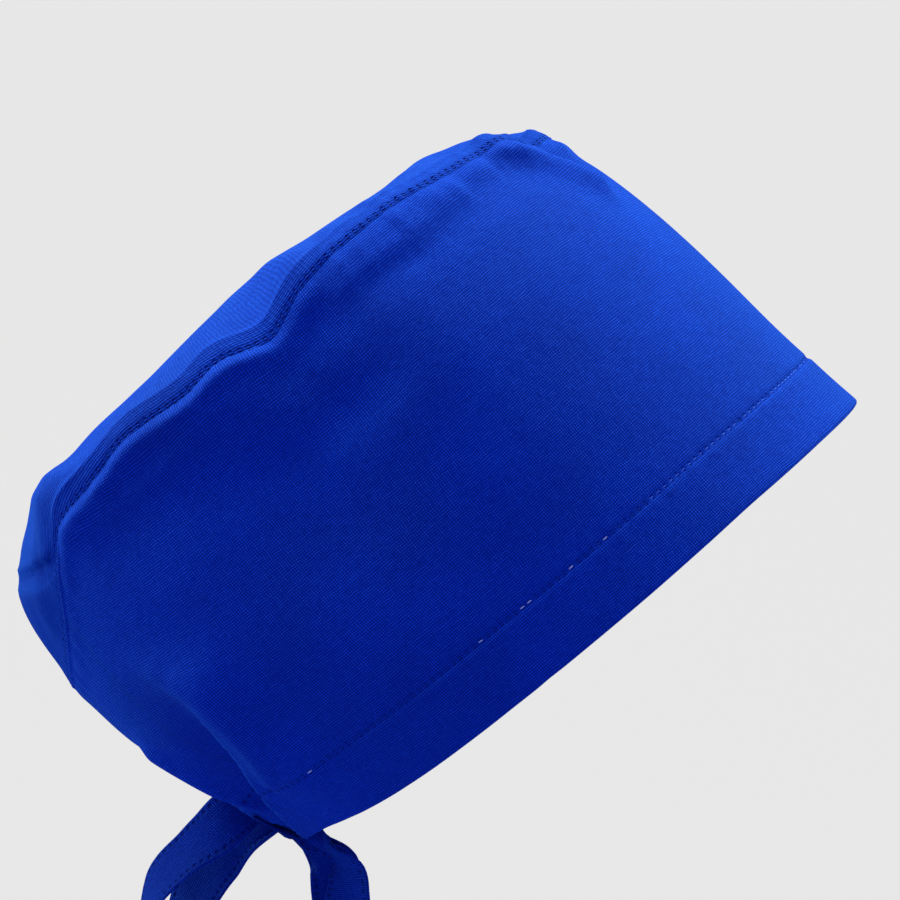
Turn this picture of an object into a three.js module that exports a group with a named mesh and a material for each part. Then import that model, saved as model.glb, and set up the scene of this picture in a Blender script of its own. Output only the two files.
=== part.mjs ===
// Tie-back scrub cap of woven cotton, in the form it keeps on a head.
// Millimetres, +Z up, the forehead towards -Y, the wearer's right towards -X.
// The origin is the middle of the head opening, in the plane of the rim.
import * as THREE from 'three';

const DEGREE = Math.PI / 180;

// Head opening and side band
const RIM_HALF_LENGTH = 105;
const RIM_HALF_WIDTH = 77;
const BAND_HEIGHT = 122;
const HEM_HEIGHT = 19;
const RIM_TILT = 38.2 * DEGREE;

// Crown panel
const CROWN_DOME = 14.8;
const CROWN_PEAK_BACK = 10;
const SEAM_ALLOWANCE = 6;
const ALLOWANCE_EDGE = 1.5;
const PLEAT_DEPTH = 2.6;

// Cloth
const CLOTH_THICKNESS = 1.2;
const HEM_THICKNESS = 2.2;
const ALLOWANCE_LIFT = 0.7;
const PIECE_GAP = 0.3;

// Folds of the band, how far each stands out or in
const NAPE_RECESS = 17;
const NAPE_VALLEY = 6;
const NAPE_RIDGE = 2.6;
const SEAM_PUCKER = 1.3;
const SIDE_DENT = 3;
const FRONT_RIDGE = 2.4;

// Ties
const TIE_WIDTH = 15.5;
const TIE_THICKNESS = 1.2;
const LOOP_LENGTH = 60;
const TAIL_LENGTH = 74;
const KNOT_WIDTH = 14;
const KNOT_HEIGHT = 13;
const KNOT_DEPTH = 9;
const KNOT_INSET = 8;
const KNOT_RISE = 8;
const LEAD_CLEARANCE = 0.6;
const KNOT_CLEARANCE = 0.8;

// Mesh steps
const COLUMNS = 88;
const BACK_CROWDING = 0.45;
const CROWN_RINGS = 11;
const EDGE_CROWDING = 1.25;
const STRAP_STEP = 3.4;

// Plan of the cap by height. height: share of BAND_HEIGHT; front and back: reach as a share of
// RIM_HALF_LENGTH; side: reach as a share of RIM_HALF_WIDTH.
const SECTIONS = [
  { height: -0.02, front: 1.000, side: 1.000, back: 1.010 },
  { height: 0.10, front: 0.980, side: 1.015, back: 1.078 },
  { height: 0.25, front: 0.946, side: 1.035, back: 1.152 },
  { height: 0.45, front: 0.915, side: 1.050, back: 1.222 },
  { height: 0.65, front: 0.876, side: 1.045, back: 1.246 },
  { height: 0.82, front: 0.829, side: 1.005, back: 1.246 },
  { height: 0.94, front: 0.775, side: 0.950, back: 1.232 },
  { height: 1.03, front: 0.730, side: 0.905, back: 1.215 },
];

// The rim and the crown seam round the cap. angle: degrees from the forehead; rim and seam: height as
// a share of BAND_HEIGHT.
const EDGES = [
  { angle: 0, rim: 0.000, seam: 0.952 },
  { angle: 22, rim: 0.006, seam: 0.957 },
  { angle: 41, rim: 0.010, seam: 0.998 },
  { angle: 57, rim: 0.010, seam: 1.008 },
  { angle: 70, rim: 0.004, seam: 1.022 },
  { angle: 82, rim: -0.003, seam: 1.018 },
  { angle: 90, rim: -0.007, seam: 1.004 },
  { angle: 96.5, rim: -0.010, seam: 0.960 },
  { angle: 103, rim: -0.013, seam: 0.984 },
  { angle: 110, rim: -0.015, seam: 0.971 },
  { angle: 119, rim: -0.016, seam: 0.984 },
  { angle: 128, rim: -0.014, seam: 0.956 },
  { angle: 137, rim: -0.010, seam: 0.930 },
  { angle: 143, rim: -0.006, seam: 0.860 },
  { angle: 150, rim: -0.002, seam: 0.762 },
  { angle: 158, rim: 0.000, seam: 0.690 },
  { angle: 168, rim: 0.000, seam: 0.640 },
  { angle: 180, rim: 0.000, seam: 0.625 },
];

// Roundness of the crown's shoulder, as the exponent of a superellipse, by degrees from the forehead.
const SHOULDERS = [
  { angle: 0, exponent: 2.1 },
  { angle: 60, exponent: 2.15 },
  { angle: 95, exponent: 2.4 },
  { angle: 120, exponent: 2.45 },
  { angle: 150, exponent: 3.1 },
  { angle: 180, exponent: 3.6 },
];

// Folds of the band, each a ridge or valley along a line. angle: degrees from the forehead, the same
// on both sides; height: share of BAND_HEIGHT; reach: half width as a share of HEM_HEIGHT; out: how
// far the cloth stands out; left: the share of it on the wearer's left, where the folds lie softer.
const BAND_FOLDS = [
  { angle: 180, height: 0.24, endAngle: 180, endHeight: -0.1, reach: 0.78, out: -NAPE_RECESS, left: 1 },
  { angle: 144, height: 0.36, endAngle: 157, endHeight: 0.02, reach: 0.40, out: -NAPE_VALLEY, left: 0.85 },
  { angle: 135, height: 0.46, endAngle: 137, endHeight: 0.14, reach: 0.46, out: NAPE_RIDGE, left: 0.8 },
  { angle: 162, height: 0.38, endAngle: 159, endHeight: 0.14, reach: 0.28, out: NAPE_RIDGE, left: 0.9 },
  { angle: 58, height: 0.955, endAngle: 88, endHeight: 0.945, reach: 0.20, out: SEAM_PUCKER, left: 0.8 },
  { angle: 103, height: 0.905, endAngle: 134, endHeight: 0.875, reach: 0.22, out: SEAM_PUCKER, left: 1 },
  { angle: 95, height: 0.93, endAngle: 94, endHeight: 0.76, reach: 0.50, out: -SIDE_DENT, left: 0.5 },
  { angle: 38, height: 0.99, endAngle: 26, endHeight: 0.80, reach: 0.28, out: FRONT_RIDGE, left: 0.7 },
  { angle: 24, height: 0.97, endAngle: 18, endHeight: 0.84, reach: 0.30, out: -FRONT_RIDGE, left: 0.5 },
];

// Folds of the crown. inward: share of the way from the seam to the peak.
const CROWN_FOLDS = [
  { angle: 148, inward: 0.27, endAngle: 180, endInward: 0.52, reach: 0.24, out: PLEAT_DEPTH, left: 1 },
  { angle: 148, inward: 0.17, endAngle: 180, endInward: 0.41, reach: 0.24, out: -PLEAT_DEPTH, left: 1 },
  { angle: 99, inward: 0.10, endAngle: 98, endInward: 0.22, reach: 0.35, out: -SEAM_PUCKER, left: 0.5 },
  { angle: 52, inward: 0.22, endAngle: 30, endInward: 0.34, reach: 0.32, out: SEAM_PUCKER, left: 1 },
];

// Routes of the ties from the middle of the knot, as shares of LOOP_LENGTH or TAIL_LENGTH. width: share
// of TIE_WIDTH, less where the strap is bunched at the knot; the across columns: the way that the
// strap's width points.
const RIGHT_LOOP = [
  { back: 0.10, down: -0.03, left: -0.03, width: 0.55, acrossBack: 0.0, acrossDown: -1.0, acrossLeft: 0.1 },
  { back: 0.22, down: -0.02, left: -0.05, width: 0.85, acrossBack: 0.1, acrossDown: -1.0, acrossLeft: 0.2 },
  { back: 0.33, down: 0.03, left: -0.08, width: 1.0, acrossBack: 0.4, acrossDown: -0.9, acrossLeft: 0.3 },
  { back: 0.44, down: 0.11, left: -0.11, width: 1.0, acrossBack: 0.5, acrossDown: -0.7, acrossLeft: 0.5 },
  { back: 0.55, down: 0.19, left: -0.13, width: 1.0, acrossBack: 0.4, acrossDown: -0.6, acrossLeft: 0.7 },
  { back: 0.65, down: 0.28, left: -0.14, width: 1.0, acrossBack: 0.4, acrossDown: -0.5, acrossLeft: 0.8 },
  { back: 0.73, down: 0.39, left: -0.14, width: 1.0, acrossBack: 0.4, acrossDown: -0.3, acrossLeft: 0.9 },
  { back: 0.75, down: 0.52, left: -0.12, width: 1.0, acrossBack: 0.5, acrossDown: -0.1, acrossLeft: 0.8 },
  { back: 0.73, down: 0.64, left: -0.09, width: 1.0, acrossBack: 0.2, acrossDown: 0.0, acrossLeft: 1.0 },
  { back: 0.67, down: 0.70, left: -0.05, width: 1.0, acrossBack: 0.0, acrossDown: 0.0, acrossLeft: 1.0 },
  { back: 0.60, down: 0.65, left: -0.01, width: 1.0, acrossBack: 0.3, acrossDown: -0.2, acrossLeft: 0.9 },
  { back: 0.53, down: 0.51, left: 0.03, width: 1.0, acrossBack: 0.7, acrossDown: -0.4, acrossLeft: 0.6 },
  { back: 0.46, down: 0.38, left: 0.04, width: 1.0, acrossBack: 0.8, acrossDown: -0.5, acrossLeft: 0.4 },
  { back: 0.38, down: 0.26, left: 0.04, width: 1.0, acrossBack: 0.8, acrossDown: -0.6, acrossLeft: 0.3 },
  { back: 0.28, down: 0.15, left: 0.03, width: 0.85, acrossBack: 0.6, acrossDown: -0.8, acrossLeft: 0.2 },
  { back: 0.13, down: 0.05, left: 0.02, width: 0.55, acrossBack: 0.3, acrossDown: -1.0, acrossLeft: 0.1 },
];
const LEFT_LOOP = [
  { back: -0.03, down: 0.13, left: -0.03, width: 0.5, acrossBack: 1.0, acrossDown: 0.0, acrossLeft: 0.2 },
  { back: -0.11, down: 0.20, left: -0.04, width: 0.7, acrossBack: 1.0, acrossDown: -0.6, acrossLeft: 0.5 },
  { back: -0.18, down: 0.28, left: -0.05, width: 1.0, acrossBack: 0.7, acrossDown: -0.3, acrossLeft: 0.6 },
  { back: -0.21, down: 0.40, left: -0.06, width: 1.0, acrossBack: 0.8, acrossDown: 0.0, acrossLeft: 0.6 },
  { back: -0.21, down: 0.54, left: -0.06, width: 1.0, acrossBack: 0.9, acrossDown: 0.0, acrossLeft: 0.3 },
  { back: -0.21, down: 0.68, left: -0.03, width: 1.0, acrossBack: 1.0, acrossDown: 0.0, acrossLeft: 0.0 },
  { back: -0.20, down: 0.77, left: 0.03, width: 1.0, acrossBack: 1.0, acrossDown: 0.0, acrossLeft: 0.0 },
  { back: -0.19, down: 0.79, left: 0.08, width: 1.0, acrossBack: 1.0, acrossDown: 0.0, acrossLeft: 0.0 },
  { back: -0.18, down: 0.74, left: 0.13, width: 1.0, acrossBack: 1.0, acrossDown: 0.0, acrossLeft: 0.0 },
  { back: -0.165, down: 0.58, left: 0.14, width: 1.0, acrossBack: 1.0, acrossDown: 0.0, acrossLeft: 0.0 },
  { back: -0.16, down: 0.42, left: 0.12, width: 1.0, acrossBack: 1.0, acrossDown: 0.0, acrossLeft: 0.0 },
  { back: -0.14, down: 0.29, left: 0.10, width: 0.9, acrossBack: 1.0, acrossDown: -0.2, acrossLeft: 0.1 },
  { back: -0.08, down: 0.20, left: 0.07, width: 0.6, acrossBack: 1.0, acrossDown: -0.5, acrossLeft: 0.2 },
  { back: -0.01, down: 0.13, left: 0.03, width: 0.45, acrossBack: 1.0, acrossDown: -0.4, acrossLeft: 0.2 },
];
const RIGHT_TAIL = [
  { back: 0.085, down: 0.03, left: 0.055, width: 0.5, acrossBack: 0.3, acrossDown: -1.0, acrossLeft: 0.2 },
  { back: 0.17, down: 0.09, left: 0.08, width: 0.8, acrossBack: 0.6, acrossDown: -0.8, acrossLeft: 0.3 },
  { back: 0.26, down: 0.17, left: 0.09, width: 0.9, acrossBack: 0.7, acrossDown: -0.6, acrossLeft: 0.4 },
  { back: 0.34, down: 0.27, left: 0.09, width: 0.9, acrossBack: 0.7, acrossDown: -0.5, acrossLeft: 0.4 },
  { back: 0.40, down: 0.38, left: 0.09, width: 0.9, acrossBack: 0.8, acrossDown: -0.4, acrossLeft: 0.4 },
  { back: 0.44, down: 0.53, left: 0.08, width: 1.0, acrossBack: 0.9, acrossDown: -0.2, acrossLeft: 0.3 },
  { back: 0.46, down: 0.70, left: 0.07, width: 1.0, acrossBack: 1.0, acrossDown: -0.1, acrossLeft: 0.2 },
  { back: 0.45, down: 0.88, left: 0.07, width: 1.0, acrossBack: 1.0, acrossDown: 0.0, acrossLeft: 0.1 },
];
const LEFT_TAIL = [
  { back: 0.01, down: 0.105, left: 0.085, width: 0.45, acrossBack: 1.0, acrossDown: 0.0, acrossLeft: -0.3 },
  { back: -0.05, down: 0.17, left: 0.13, width: 0.7, acrossBack: 1.0, acrossDown: -0.3, acrossLeft: 0.0 },
  { back: -0.10, down: 0.26, left: 0.16, width: 1.0, acrossBack: 1.0, acrossDown: -0.2, acrossLeft: 0.0 },
  { back: -0.12, down: 0.40, left: 0.17, width: 1.0, acrossBack: 1.0, acrossDown: 0.0, acrossLeft: 0.0 },
  { back: -0.12, down: 0.60, left: 0.17, width: 1.0, acrossBack: 1.0, acrossDown: 0.0, acrossLeft: 0.0 },
  { back: -0.11, down: 0.82, left: 0.16, width: 1.0, acrossBack: 1.0, acrossDown: 0.0, acrossLeft: 0.1 },
  { back: -0.10, down: 1.00, left: 0.15, width: 1.0, acrossBack: 1.0, acrossDown: 0.0, acrossLeft: 0.1 },
];

// Degrees from the forehead between which the straps are sewn on beside the nape.
const LEAD_START = 164;
const LEAD_END = 170;

const COTTON = { color: 0x0a2fa0, roughness: 0.88, metalness: 0 };
const TIE_COTTON = { color: 0x072483, roughness: 0.9, metalness: 0 };

function clamp(value, low, high) {
  return Math.min(high, Math.max(low, value));
}

function smoothStep(share) {
  const s = clamp(share, 0, 1);
  return s * s * (3 - 2 * s);
}

// A smooth curve through one column of a table that does not overshoot between its rows.
function readTable(table, key, column, at) {
  const last = table.length - 1;
  if (at <= table[0][key]) return table[0][column];
  if (at >= table[last][key]) return table[last][column];
  const gap = row => table[row + 1][key] - table[row][key];
  const slope = row => (table[row + 1][column] - table[row][column]) / gap(row);
  const tangent = row => {
    if (row === 0) return slope(0);
    if (row === last) return slope(last - 1);
    const before = slope(row - 1);
    const after = slope(row);
    return before * after <= 0 ? 0 : 2 * before * after / (before + after);
  };
  let row = 0;
  while (at > table[row + 1][key]) row += 1;
  const s = (at - table[row][key]) / gap(row);
  const t = 1 - s;
  return t * t * (1 + 2 * s) * table[row][column] + s * s * (3 - 2 * s) * table[row + 1][column]
    + gap(row) * s * t * (t * tangent(row) - s * tangent(row + 1));
}

// Degrees from the forehead, 0 to 180, on either side of the cap.
function degreesFromFront(angle) {
  return Math.acos(clamp(Math.cos(angle), -1, 1)) / DEGREE;
}

// How far the folds of a table move the cloth at a point of its unrolled surface.
function foldShift(folds, angle, across, acrossOf) {
  const meanReach = (RIM_HALF_LENGTH + RIM_HALF_WIDTH) / 2;
  const degrees = degreesFromFront(angle);
  const onLeft = Math.sin(angle) < 0;
  let shift = 0;
  for (const fold of folds) {
    const round = (degrees - fold.angle) * DEGREE * meanReach;
    const roundSpan = (fold.endAngle - fold.angle) * DEGREE * meanReach;
    const start = acrossOf(fold, false);
    const span = acrossOf(fold, true) - start;
    const along = clamp((round * roundSpan + (across - start) * span) / (roundSpan ** 2 + span ** 2), 0, 1);
    const distance = Math.hypot(round - along * roundSpan, across - start - along * span);
    const side = onLeft ? fold.left : 1;
    shift += side * fold.out * Math.exp(-((distance / (fold.reach * HEM_HEIGHT)) ** 2));
  }
  return shift;
}

const bandFoldHeight = (fold, atEnd) => (atEnd ? fold.endHeight : fold.height) * BAND_HEIGHT;
const crownFoldInward = (fold, atEnd) => (atEnd ? fold.endInward : fold.inward) * RIM_HALF_WIDTH;

function edgeHeight(edge, angle) {
  return BAND_HEIGHT * readTable(EDGES, 'angle', edge, degreesFromFront(angle));
}

function bandLevel(angle, share) {
  return THREE.MathUtils.lerp(edgeHeight('rim', angle), edgeHeight('seam', angle), share);
}

// Plan of the cap at a height: the rim is a rounded oval, its back drawn further out higher up.
function bandSurface(angle, share) {
  const roundness = 2 / 2.15;
  const z = bandLevel(angle, share);
  const level = z / BAND_HEIGHT;
  const reachOf = column => readTable(SECTIONS, 'height', column, level);
  const ahead = Math.cos(angle);
  const aside = Math.sin(angle);
  const length = RIM_HALF_LENGTH * (ahead >= 0 ? reachOf('front') : reachOf('back'));
  const width = RIM_HALF_WIDTH * reachOf('side');
  return new THREE.Vector3(
    -width * Math.sign(aside) * Math.abs(aside) ** roundness,
    -length * Math.sign(ahead) * Math.abs(ahead) ** roundness,
    z,
  );
}

// Outward direction of a surface given by its point function.
function outward(surface, angle, share) {
  const turn = 0.004;
  const step = 0.004;
  const low = clamp(share - step, 0, 1);
  const high = clamp(share + step, 0, 1);
  const around = surface(angle + turn, share).sub(surface(angle - turn, share));
  const upward = surface(angle, high).sub(surface(angle, low));
  return upward.cross(around).normalize();
}

function bandPoint(angle, share) {
  const shift = foldShift(BAND_FOLDS, angle, bandLevel(angle, share), bandFoldHeight);
  return bandSurface(angle, share).addScaledVector(outward(bandSurface, angle, share), shift);
}

// The crown rises from the seam over its shoulder to the peak, evenly by length of cloth.
const CROWN_SAMPLES = 48;

function crownProfile(angle) {
  const edge = bandPoint(angle, 1);
  const power = 2 / readTable(SHOULDERS, 'angle', 'exponent', degreesFromFront(angle));
  const peak = new THREE.Vector3(0, CROWN_PEAK_BACK, BAND_HEIGHT + CROWN_DOME);
  const points = [];
  for (let i = 0; i <= CROWN_SAMPLES; i += 1) {
    const turn = (i / CROWN_SAMPLES) * Math.PI / 2;
    const out = Math.cos(turn) ** power;
    const up = Math.sin(turn) ** power;
    points.push(new THREE.Vector3(
      peak.x + (edge.x - peak.x) * out,
      peak.y + (edge.y - peak.y) * out,
      edge.z + (peak.z - edge.z) * up,
    ));
  }
  const lengths = [0];
  for (let i = 1; i < points.length; i += 1) lengths.push(lengths[i - 1] + points[i].distanceTo(points[i - 1]));
  return { points, lengths };
}

const profiles = new Map();

function profileAt(angle) {
  const key = angle.toFixed(6);
  if (!profiles.has(key)) profiles.set(key, crownProfile(angle));
  return profiles.get(key);
}

function crownSurface(angle, share) {
  const { points, lengths } = profileAt(angle);
  const target = share * lengths[CROWN_SAMPLES];
  let i = 1;
  while (i < CROWN_SAMPLES && lengths[i] < target) i += 1;
  const part = (target - lengths[i - 1]) / (lengths[i] - lengths[i - 1]);
  return points[i - 1].clone().lerp(points[i], part);
}

function crownPoint(angle, share) {
  const length = profileAt(angle).lengths[CROWN_SAMPLES];
  const shift = foldShift(CROWN_FOLDS, angle, share * RIM_HALF_WIDTH, crownFoldInward);
  const fromSeam = smoothStep(share * length / (2 * SEAM_ALLOWANCE));
  const fromPeak = smoothStep((1 - share) * 3);
  return crownSurface(angle, share)
    .addScaledVector(outward(crownSurface, angle, share), shift * fromSeam * fromPeak);
}

// Where band and crown meet, both walls are cut along one mitre so that their edges lie face to face.
function seamFrame(angle) {
  const mitre = outward(bandPoint, angle, 1).add(outward(crownPoint, angle, 0.02)).normalize();
  const along = bandPoint(angle + 0.01, 1).sub(bandPoint(angle - 0.01, 1)).normalize();
  return { mitre, across: along.cross(mitre).normalize() };
}

// Columns of the mesh round the cap, closer together at the gathered nape.
function columnAngles() {
  const angles = [];
  for (let i = 0; i < COLUMNS; i += 1) {
    const even = (i / COLUMNS) * 2 * Math.PI;
    angles.push(even + BACK_CROWDING * Math.sin(even));
  }
  return angles;
}

// A closed wall from rings of outer and inner points, with a fan over the peak where there is one.
function wallGeometry(outer, inner, outerPeak, innerPeak) {
  const columns = outer[0].length;
  const positions = [];
  const faces = [];
  const place = point => positions.push(point.x, point.y, point.z);
  outer.forEach(ring => ring.forEach(place));
  inner.forEach(ring => ring.forEach(place));
  const outerAt = (ring, column) => ring * columns + column % columns;
  const innerAt = (ring, column) => (outer.length + ring) * columns + column % columns;
  const quad = (a, b, c, d) => faces.push(a, b, c, a, c, d);
  for (let column = 0; column < columns; column += 1) {
    const next = column + 1;
    for (let ring = 0; ring + 1 < outer.length; ring += 1) {
      quad(outerAt(ring, column), outerAt(ring + 1, column), outerAt(ring + 1, next), outerAt(ring, next));
      quad(innerAt(ring, column), innerAt(ring, next), innerAt(ring + 1, next), innerAt(ring + 1, column));
    }
    quad(innerAt(0, column), outerAt(0, column), outerAt(0, next), innerAt(0, next));
  }
  const top = outer.length - 1;
  if (outerPeak) {
    const outerTip = positions.length / 3;
    place(outerPeak);
    place(innerPeak);
    for (let column = 0; column < columns; column += 1) {
      faces.push(outerAt(top, column), outerTip, outerAt(top, column + 1));
      faces.push(innerAt(top, column), innerAt(top, column + 1), outerTip + 1);
    }
  } else {
    for (let column = 0; column < columns; column += 1) {
      quad(outerAt(top, column), innerAt(top, column), innerAt(top, column + 1), outerAt(top, column + 1));
    }
  }
  return indexedGeometry(positions, faces);
}

function indexedGeometry(positions, faces) {
  const geometry = new THREE.BufferGeometry();
  geometry.setAttribute('position', new THREE.Float32BufferAttribute(positions, 3));
  geometry.setIndex(faces);
  geometry.computeVertexNormals();
  return geometry;
}

function pieceMesh(name, geometry, finish) {
  const mesh = new THREE.Mesh(geometry, new THREE.MeshStandardMaterial(finish));
  mesh.name = name;
  return mesh;
}

// The band's wall is doubled along the rim, where the hem is turned up inside.
function sideBand(angles) {
  const hemShare = HEM_HEIGHT / BAND_HEIGHT;
  const hemEdge = 1.5 / BAND_HEIGHT;
  const upperRows = [0.22, 0.30, 0.39, 0.49, 0.59, 0.69, 0.78, 0.86, 0.93, 1];
  const rows = [0, hemShare / 3, hemShare * 2 / 3, hemShare, hemShare + hemEdge, ...upperRows];
  const outer = rows.map(row => angles.map(angle => bandPoint(angle, row)));
  const inner = rows.map((row, index) => angles.map((angle, column) => {
    const thickness = row <= hemShare ? HEM_THICKNESS : CLOTH_THICKNESS;
    const direction = row === 1 ? seamFrame(angle).mitre : outward(bandPoint, angle, row);
    return outer[index][column].clone().addScaledVector(direction, -thickness);
  }));
  return pieceMesh('side_band', wallGeometry(outer, inner), COTTON);
}

// The crown's wall is a little thicker round its edge, where the seam allowance is pressed under it.
function crownPanel(angles) {
  const middle = Array.from({ length: CROWN_RINGS }, (_, i) => ((i + 1) / (CROWN_RINGS + 0.6)) ** EDGE_CROWDING);
  const ringCount = middle.length + 3;
  const rowAt = (angle, ring) => {
    const length = profileAt(angle).lengths[CROWN_SAMPLES];
    const allowance = SEAM_ALLOWANCE / length;
    const plain = (SEAM_ALLOWANCE + ALLOWANCE_EDGE) / length;
    if (ring < 3) return [0, allowance, plain][ring];
    return plain + (1 - plain) * middle[ring - 3];
  };
  const wall = lift => Array.from({ length: ringCount }, (_, ring) => angles.map(angle => {
    const row = rowAt(angle, ring);
    const { mitre, across } = seamFrame(angle);
    const direction = ring === 0 ? mitre : outward(crownPoint, angle, row);
    const raised = lift > 0 && ring < 2 ? ALLOWANCE_LIFT * ring : 0;
    const thickness = lift > 0 ? raised : -CLOTH_THICKNESS;
    const fade = 1 - smoothStep(row * 4);
    return crownPoint(angle, row)
      .addScaledVector(direction, thickness)
      .addScaledVector(across, PIECE_GAP * fade);
  }));
  const peak = crownSurface(0, 1);
  const innerPeak = peak.clone().setZ(peak.z - CLOTH_THICKNESS);
  return pieceMesh('crown_panel', wallGeometry(wall(1), wall(-1), peak, innerPeak), COTTON);
}

const wornTurn = new THREE.Euler(-RIM_TILT, 0, 0);

// The knot sits in the recess of the nape, just inside the cap's outline.
function knotCentre() {
  const nape = bandSurface(Math.PI, KNOT_RISE / BAND_HEIGHT);
  return new THREE.Vector3(0, nape.y - KNOT_INSET, KNOT_RISE).applyEuler(wornTurn);
}

// A flat strap swept along a smooth curve. The bearing at a share of the run gives the way that its
// width points and how wide it is there.
function strapGeometry(curve, bearing) {
  const corners = [[-1, -1], [0, -1], [1, -1], [1, 1], [0, 1], [-1, 1]];
  const sides = corners.length;
  const steps = Math.max(4, Math.round(curve.getLength() / STRAP_STEP));
  const positions = [];
  const faces = [];
  for (let i = 0; i <= steps; i += 1) {
    const centre = curve.getPoint(i / steps);
    const tangent = curve.getTangent(i / steps);
    const { across, width } = bearing(i / steps);
    const sideways = across.addScaledVector(tangent, -across.dot(tangent)).normalize();
    const face = tangent.clone().cross(sideways);
    for (const [side, top] of corners) {
      const point = centre.clone()
        .addScaledVector(sideways, side * width / 2)
        .addScaledVector(face, top * TIE_THICKNESS / 2);
      positions.push(point.x, point.y, point.z);
    }
  }
  for (let i = 0; i < steps; i += 1) {
    for (let j = 0; j < sides; j += 1) {
      const a = i * sides + j;
      const b = i * sides + (j + 1) % sides;
      faces.push(a, b, b + sides, a, b + sides, a + sides);
    }
  }
  const end = steps * sides;
  faces.push(0, 5, 4, 0, 4, 1, 1, 4, 3, 1, 3, 2);
  faces.push(end, end + 1, end + 4, end, end + 4, end + 5);
  faces.push(end + 1, end + 2, end + 3, end + 1, end + 3, end + 4);
  return indexedGeometry(positions, faces);
}

// A point just off the knot's surface, in the direction of a route's end.
function offKnot(way) {
  const size = new THREE.Vector3(way.x / KNOT_WIDTH, way.y / KNOT_DEPTH, way.z / KNOT_HEIGHT).length() * 2;
  const length = way.length();
  return way.clone().multiplyScalar((length / size + KNOT_CLEARANCE) / length);
}

// A loop or tail of the bow, from its table. A loop comes back to the knot, a tail ends free.
function bowStrap(route, length, knot, isLoop) {
  const stops = route.map(row => new THREE.Vector3(row.left, row.back, -row.down).multiplyScalar(length));
  stops[0] = offKnot(stops[0]);
  if (isLoop) stops[stops.length - 1] = offKnot(stops[stops.length - 1]);
  const points = stops.map(way => way.add(knot));
  const ways = route.map(row => new THREE.Vector3(row.acrossLeft, row.acrossBack, -row.acrossDown).normalize());
  const bearing = share => {
    const row = share * (route.length - 1);
    const low = Math.min(Math.floor(row), route.length - 2);
    const part = row - low;
    return {
      across: ways[low].clone().lerp(ways[low + 1], part),
      width: TIE_WIDTH * THREE.MathUtils.lerp(route[low].width, route[low + 1].width, part),
    };
  };
  return strapGeometry(new THREE.CatmullRomCurve3(points, false, 'centripetal'), bearing);
}

// The stretch of strap from where it is sewn to the hem, beside the nape, to the side of the knot.
function leadStrap(onLeft, knot) {
  const side = onLeft ? 1 : -1;
  const clear = TIE_THICKNESS / 2 + LEAD_CLEARANCE;
  const middle = (TIE_WIDTH / 2 + PIECE_GAP) / BAND_HEIGHT;
  const upTheBand = angle => bandPoint(angle, 2 * middle).sub(bandPoint(angle, 0)).applyEuler(wornTurn);
  const angleAt = share => -side * THREE.MathUtils.lerp(LEAD_START, LEAD_END, share) * DEGREE;
  const sewn = share => {
    const angle = angleAt(share);
    const around = bandPoint(angle + 0.01, middle).sub(bandPoint(angle - 0.01, middle)).applyEuler(wornTurn);
    const off = upTheBand(angle).cross(around).normalize();
    const foot = bandPoint(angle, 0).lerp(bandPoint(angle, 2 * middle), 0.5).applyEuler(wornTurn);
    return foot.addScaledVector(off, clear);
  };
  const knotSide = knot.clone().setX(side * (KNOT_WIDTH / 2 + LEAD_CLEARANCE));
  const points = [sewn(0), sewn(1 / 3), sewn(2 / 3), sewn(1), knotSide];
  const bearing = share => ({
    across: upTheBand(angleAt(Math.min(1, share * 5 / 4))),
    width: TIE_WIDTH * THREE.MathUtils.lerp(1, 0.45, smoothStep(share * 3 - 2)),
  });
  return strapGeometry(new THREE.CatmullRomCurve3(points, false, 'centripetal'), bearing);
}

// The knot: a rounded lump of strap.
function tieKnot(centre) {
  const geometry = new THREE.SphereGeometry(0.5, 16, 12);
  geometry.scale(KNOT_WIDTH, KNOT_DEPTH, KNOT_HEIGHT);
  const mesh = pieceMesh('tie_knot', geometry, TIE_COTTON);
  mesh.position.copy(centre);
  return mesh;
}

function scrubCap() {
  const angles = columnAngles();
  const worn = new THREE.Group();
  worn.rotation.copy(wornTurn);
  worn.add(sideBand(angles), crownPanel(angles));
  const knot = knotCentre();
  const cap = new THREE.Group();
  cap.add(worn, tieKnot(knot));
  const bow = [
    ['tie_loop_right', RIGHT_LOOP, LOOP_LENGTH, true],
    ['tie_loop_left', LEFT_LOOP, LOOP_LENGTH, true],
    ['tie_tail_right', RIGHT_TAIL, TAIL_LENGTH, false],
    ['tie_tail_left', LEFT_TAIL, TAIL_LENGTH, false],
  ];
  for (const [name, route, length, isLoop] of bow) {
    cap.add(pieceMesh(name, bowStrap(route, length, knot, isLoop), TIE_COTTON));
  }
  for (const [name, onLeft] of [['tie_lead_right', false], ['tie_lead_left', true]]) {
    cap.add(pieceMesh(name, leadStrap(onLeft, knot), TIE_COTTON));
  }
  return cap;
}

export default scrubCap();
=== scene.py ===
"""Looks of the tie-back scrub cap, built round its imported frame.

Lengths in the tables are millimetres in the cap's own frame: x to the wearer's left, y to the back,
z up from the plane of the rim. to_row() turns them into the row frame, in metres.
"""
import math

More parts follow.
